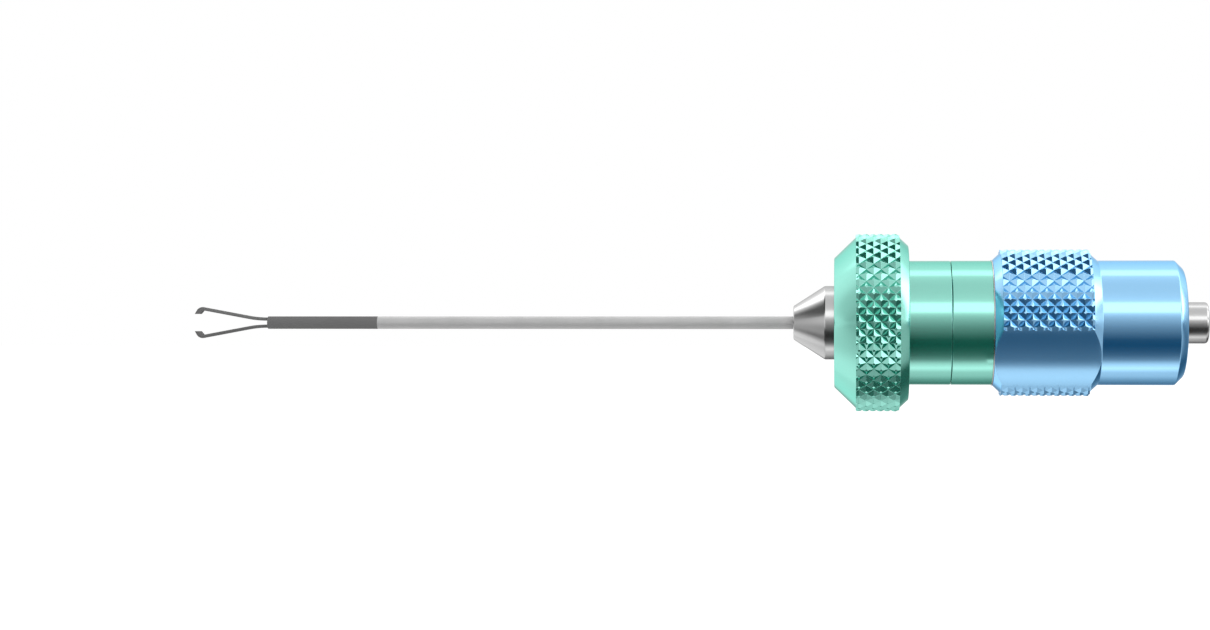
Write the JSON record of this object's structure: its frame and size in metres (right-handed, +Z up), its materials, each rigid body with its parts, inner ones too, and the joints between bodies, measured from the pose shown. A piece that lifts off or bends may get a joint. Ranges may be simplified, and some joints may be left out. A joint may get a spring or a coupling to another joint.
{
  "type": "retinal forceps",
  "caption": "Retinal forceps tip: slim shaft with two hooked jaws that close when a plunger pushes the shaft forward, a knurled ring that turns it, and a rear barrel for a handle.",
  "frame": {"origin": "on the axis, where the rear barrel leaves the knurled collar", "axes": "+X back along the axis towards the handle, +Z up, so the jaws point to -X and open along Z"},
  "size_m": [0.0512, 0.0088, 0.0088],
  "materials": {
    "blue_anodised": "light blue anodised, satin bright",
    "green_anodised": "light green anodised, satin bright",
    "polished_steel": "finely turned and polished stainless steel",
    "shaft_steel": "drawn stainless tube, polished, with a frosted dark front end",
    "jaw_steel": "matte grey stainless steel",
    "plain_steel": "machined stainless steel",
    "bush_bronze": "turned bronze",
    "seal_rubber": "matte black silicone rubber",
    "bearing_plastic": "white low-friction plastic"
  },
  "bodies": {
    "housing": {"rear_housing": "blue_anodised", "shim_washer": "plain_steel", "spacer_sleeve": "green_anodised", "retaining_ring": "plain_steel", "knob_o_ring": "seal_rubber", "thrust_washer": "bearing_plastic", "plunger_bush": "bush_bronze", "plunger_o_ring": "seal_rubber"},
    "knob": {"rotation_knob": "green_anodised", "rotor_hub": "plain_steel", "cross_pin": "plain_steel", "rod_anchor": "plain_steel", "jaw_rod": "jaw_steel", "return_spring": "plain_steel"},
    "tube_carriage": {"shaft_tube": "shaft_steel", "nose_cone": "polished_steel", "slider_sleeve": "plain_steel", "rod_seal": "seal_rubber", "spring_collar": "plain_steel", "thrust_plug": "plain_steel"},
    "plunger": {"plunger_rod": "polished_steel", "thrust_ball": "polished_steel"},
    "upper_jaw_arm": {"upper_jaw": "jaw_steel"},
    "lower_jaw_arm": {"lower_jaw": "jaw_steel"}
  },
  "joints": [
    {"name": "knob_turn", "type": "hinge", "parent": "housing", "child": "knob", "pos_m": [-0.0109, 0, 0], "axis": [1, 0, 0], "continuous": true},
    {"name": "plunger_push", "type": "slide", "parent": "housing", "child": "plunger", "axis": [-1, 0, 0], "range_m": [0, 0.0009], "stiffness_N_per_m": 400, "springref_m": -0.001},
    {"name": "tube_slide", "type": "slide", "parent": "knob", "child": "tube_carriage", "axis": [-1, 0, 0], "range_m": [0, 0.0009], "deforming": ["return_spring"]},
    {"name": "upper_jaw_close", "type": "hinge", "parent": "knob", "child": "upper_jaw_arm", "pos_m": [-0.04185, 0, 0.00018], "axis": [0, -1, 0], "range_deg": [0, 6.3]},
    {"name": "lower_jaw_close", "type": "hinge", "parent": "knob", "child": "lower_jaw_arm", "pos_m": [-0.04185, 0, -0.00018], "axis": [0, 1, 0], "range_deg": [0, 6.3]}
  ],
  "couplings": [
    {"joint": "tube_slide", "follows": "plunger_push", "ratio": 1},
    {"joint": "upper_jaw_close", "follows": "plunger_push", "rad_per_m": 122.1},
    {"joint": "lower_jaw_close", "follows": "plunger_push", "rad_per_m": 122.1}
  ]
}
